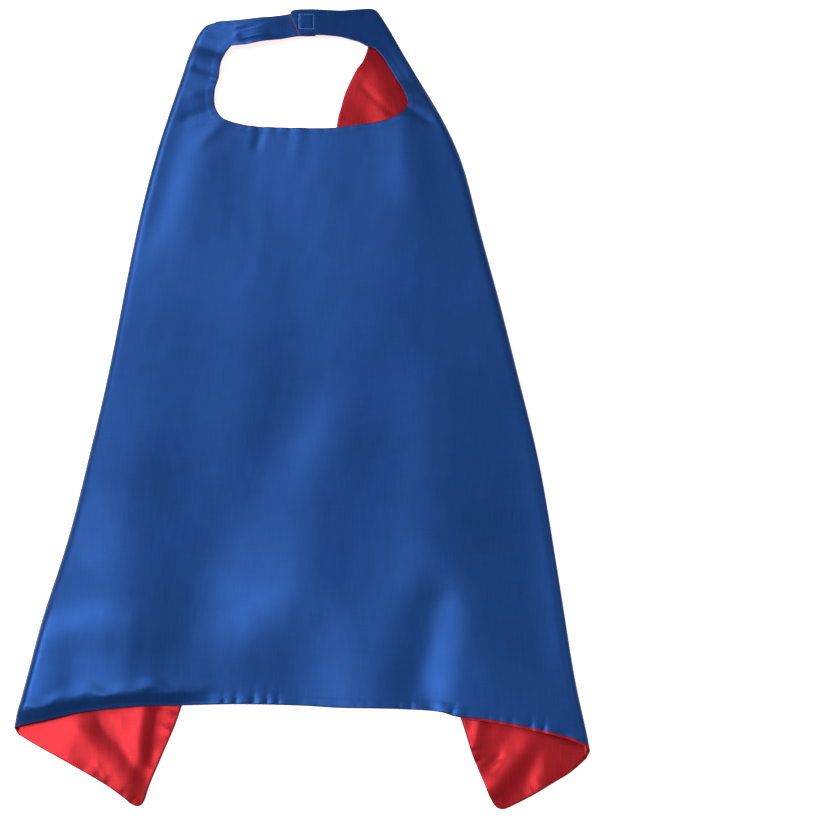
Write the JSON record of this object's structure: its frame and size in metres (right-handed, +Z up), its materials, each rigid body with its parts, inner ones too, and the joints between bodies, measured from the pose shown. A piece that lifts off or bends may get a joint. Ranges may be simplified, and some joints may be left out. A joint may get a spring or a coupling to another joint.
{
  "type": "superhero cape",
  "caption": "Child's satin superhero cape with a contrasting lining and a hook and loop neck closure, laid flat with both sides folded under.",
  "frame": {"origin": "middle of the cape's outline, on the surface that it lies on", "axes": "+Z up, +Y from the hem to the collar, +X to the right with the blue side up"},
  "size_m": [0.487, 0.7829, 0.0093],
  "materials": {
    "shell_satin": "royal blue polyester satin, glossy side out",
    "lining_satin": "crimson polyester satin, glossy side out",
    "loop_pile": "brushed nylon loops",
    "hook_pile": "moulded nylon hooks on a woven tape",
    "closure_thread": "pale blue polyester sewing thread",
    "seam_thread": "blue polyester sewing thread"
  },
  "bodies": {
    "back": {"outer_shell_back": "shell_satin", "lining_back": "lining_satin", "outer_shell_left_fold": "shell_satin", "lining_left_fold": "lining_satin", "outer_shell_right_fold": "shell_satin", "lining_right_fold": "lining_satin", "outer_shell_left_strap": "shell_satin", "lining_left_strap": "lining_satin", "loop_tape": "loop_pile", "loop_tape_stitches": "seam_thread", "hem_closing_stitches": "seam_thread", "seam_thread_hem": "seam_thread", "seam_thread_neck": "seam_thread"},
    "left_side": {"outer_shell_left_side": "shell_satin", "lining_left_side": "lining_satin", "seam_thread_left_side": "seam_thread"},
    "right_side": {"outer_shell_right_side": "shell_satin", "lining_right_side": "lining_satin", "seam_thread_right_side": "seam_thread"},
    "right_strap": {"outer_shell_right_strap": "shell_satin", "lining_right_strap": "lining_satin", "seam_thread_right_strap": "seam_thread"},
    "tab": {"outer_shell_tab": "shell_satin", "lining_tab": "lining_satin", "hook_tape": "hook_pile", "hook_tape_stitches": "closure_thread", "seam_thread_tab": "seam_thread"}
  },
  "joints": [
    {"name": "left_side_fold", "type": "hinge", "parent": "back", "child": "left_side", "pos_m": [-0.175, 0.021, 0], "axis": [0.163, 0.9866, 0], "range_deg": [0, 178]},
    {"name": "right_side_fold", "type": "hinge", "parent": "back", "child": "right_side", "pos_m": [0.146, 0.02, 0], "axis": [0.2375, -0.9714, 0], "range_deg": [0, 178]},
    {"name": "right_strap_lift", "type": "hinge", "parent": "back", "child": "right_strap", "pos_m": [0.03, 0.37175, 0.009], "axis": [0, 1, 0], "range_deg": [0, 120]},
    {"name": "tab_peel", "type": "hinge", "parent": "right_strap", "child": "tab", "pos_m": [-0.002, 0.373, 0.009], "axis": [0, 1, 0], "range_deg": [0, 90]}
  ]
}
